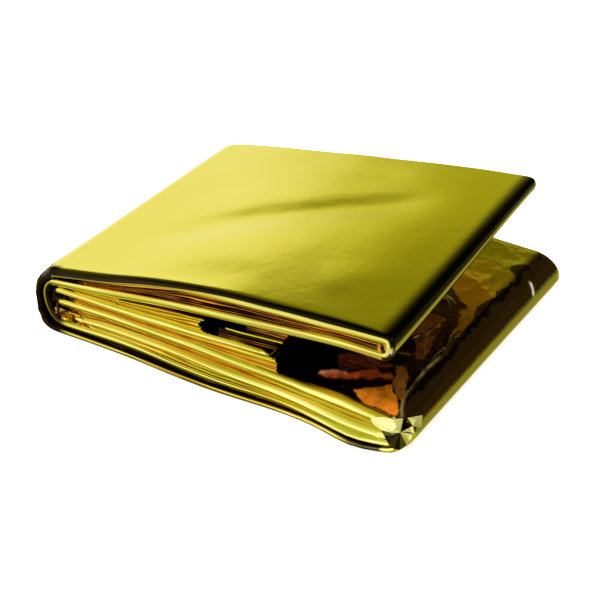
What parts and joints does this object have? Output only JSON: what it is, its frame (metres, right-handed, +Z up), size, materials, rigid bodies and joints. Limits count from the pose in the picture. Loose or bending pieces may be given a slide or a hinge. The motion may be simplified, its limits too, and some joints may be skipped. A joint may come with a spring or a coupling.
{
  "type": "folded emergency foil blanket",
  "caption": "Gold metallised-film emergency blanket folded back and forth into a flat packet, with its top flap standing open.",
  "frame": {"origin": "centre of the packet's footprint, on the surface that it lies on", "axes": "+X from the folded spine to the open end of the flap, +Y from the front fold edge to the back one, +Z up"},
  "size_m": [0.1278, 0.1082, 0.0341],
  "materials": {
    "gold_film": "mirror-bright gold metallised polyester film, softly creased"
  },
  "bodies": {
    "root": {"foil_blanket": "gold_film"}
  },
  "joints": []
}
